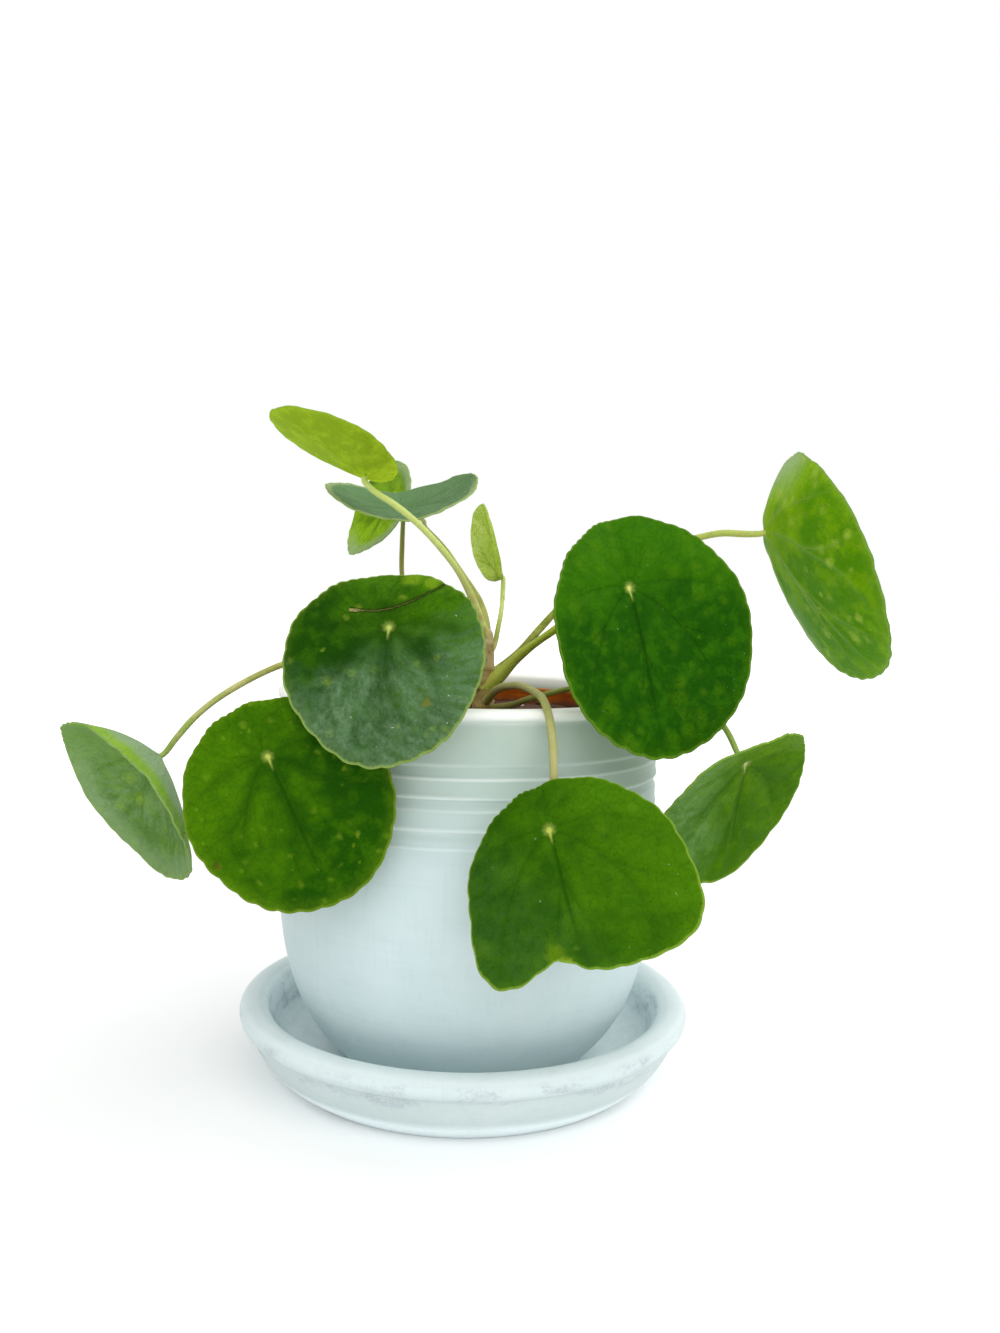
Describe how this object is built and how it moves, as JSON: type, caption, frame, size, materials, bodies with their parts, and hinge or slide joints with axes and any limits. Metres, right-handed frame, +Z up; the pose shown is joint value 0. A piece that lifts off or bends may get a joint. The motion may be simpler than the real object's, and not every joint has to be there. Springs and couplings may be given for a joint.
{
  "type": "potted pilea plant",
  "caption": "Potted pilea house plant: round peltate leaves on long thin stalks from a short trunk, in a white cylindrical pot standing on a round saucer.",
  "frame": {"origin": "centre of the saucer's underside, on the surface that the plant stands on", "axes": "+Z up along the pot's axis; the plant's front, towards the viewer of the picture, is -Y"},
  "size_m": [0.2575, 0.2079, 0.2173],
  "materials": {
    "white_paint": "white paint brushed over fired clay, satin, with faint brush marks and scuffs",
    "terracotta_plastic": "red-brown plastic, matte",
    "potting_soil": "dark peat crumbs with pale flecks",
    "bark": "dull brown-green bark",
    "stalk": "smooth green to olive-brown skin, slightly waxy",
    "leaf_01": "waxy green leaf skin, satin, with sunken veins and paler blotches",
    "leaf_02": "waxy green leaf skin, satin, with sunken veins and paler blotches",
    "leaf_03": "waxy green leaf skin, satin, with sunken veins and paler blotches",
    "leaf_04": "waxy green leaf skin, satin, with sunken veins and paler blotches",
    "leaf_05": "waxy green leaf skin, satin, with sunken veins and paler blotches",
    "leaf_06": "waxy green leaf skin, satin, with sunken veins and paler blotches",
    "leaf_07": "waxy green leaf skin, satin, with sunken veins and paler blotches",
    "leaf_08": "waxy green leaf skin, satin, with sunken veins and paler blotches",
    "leaf_09": "waxy green leaf skin, satin, with sunken veins and paler blotches",
    "leaf_10": "waxy green leaf skin, satin, with sunken veins and paler blotches",
    "leaf_11": "waxy green leaf skin, satin, with sunken veins and paler blotches"
  },
  "bodies": {
    "root": {"saucer": "white_paint", "cover_pot": "white_paint", "nursery_pot": "terracotta_plastic", "soil": "potting_soil", "trunk": "bark", "blade_01": "leaf_01", "stalk_01": "stalk", "blade_02": "leaf_02", "stalk_02": "stalk", "blade_03": "leaf_03", "stalk_03": "stalk", "blade_04": "leaf_04", "stalk_04": "stalk", "blade_05": "leaf_05", "stalk_05": "stalk", "blade_06": "leaf_06", "stalk_06": "stalk", "blade_07": "leaf_07", "stalk_07": "stalk", "blade_08": "leaf_08", "stalk_08": "stalk", "blade_09": "leaf_09", "stalk_09": "stalk", "blade_10": "leaf_10", "stalk_10": "stalk", "blade_11": "leaf_11", "stalk_11": "stalk"}
  },
  "joints": []
}
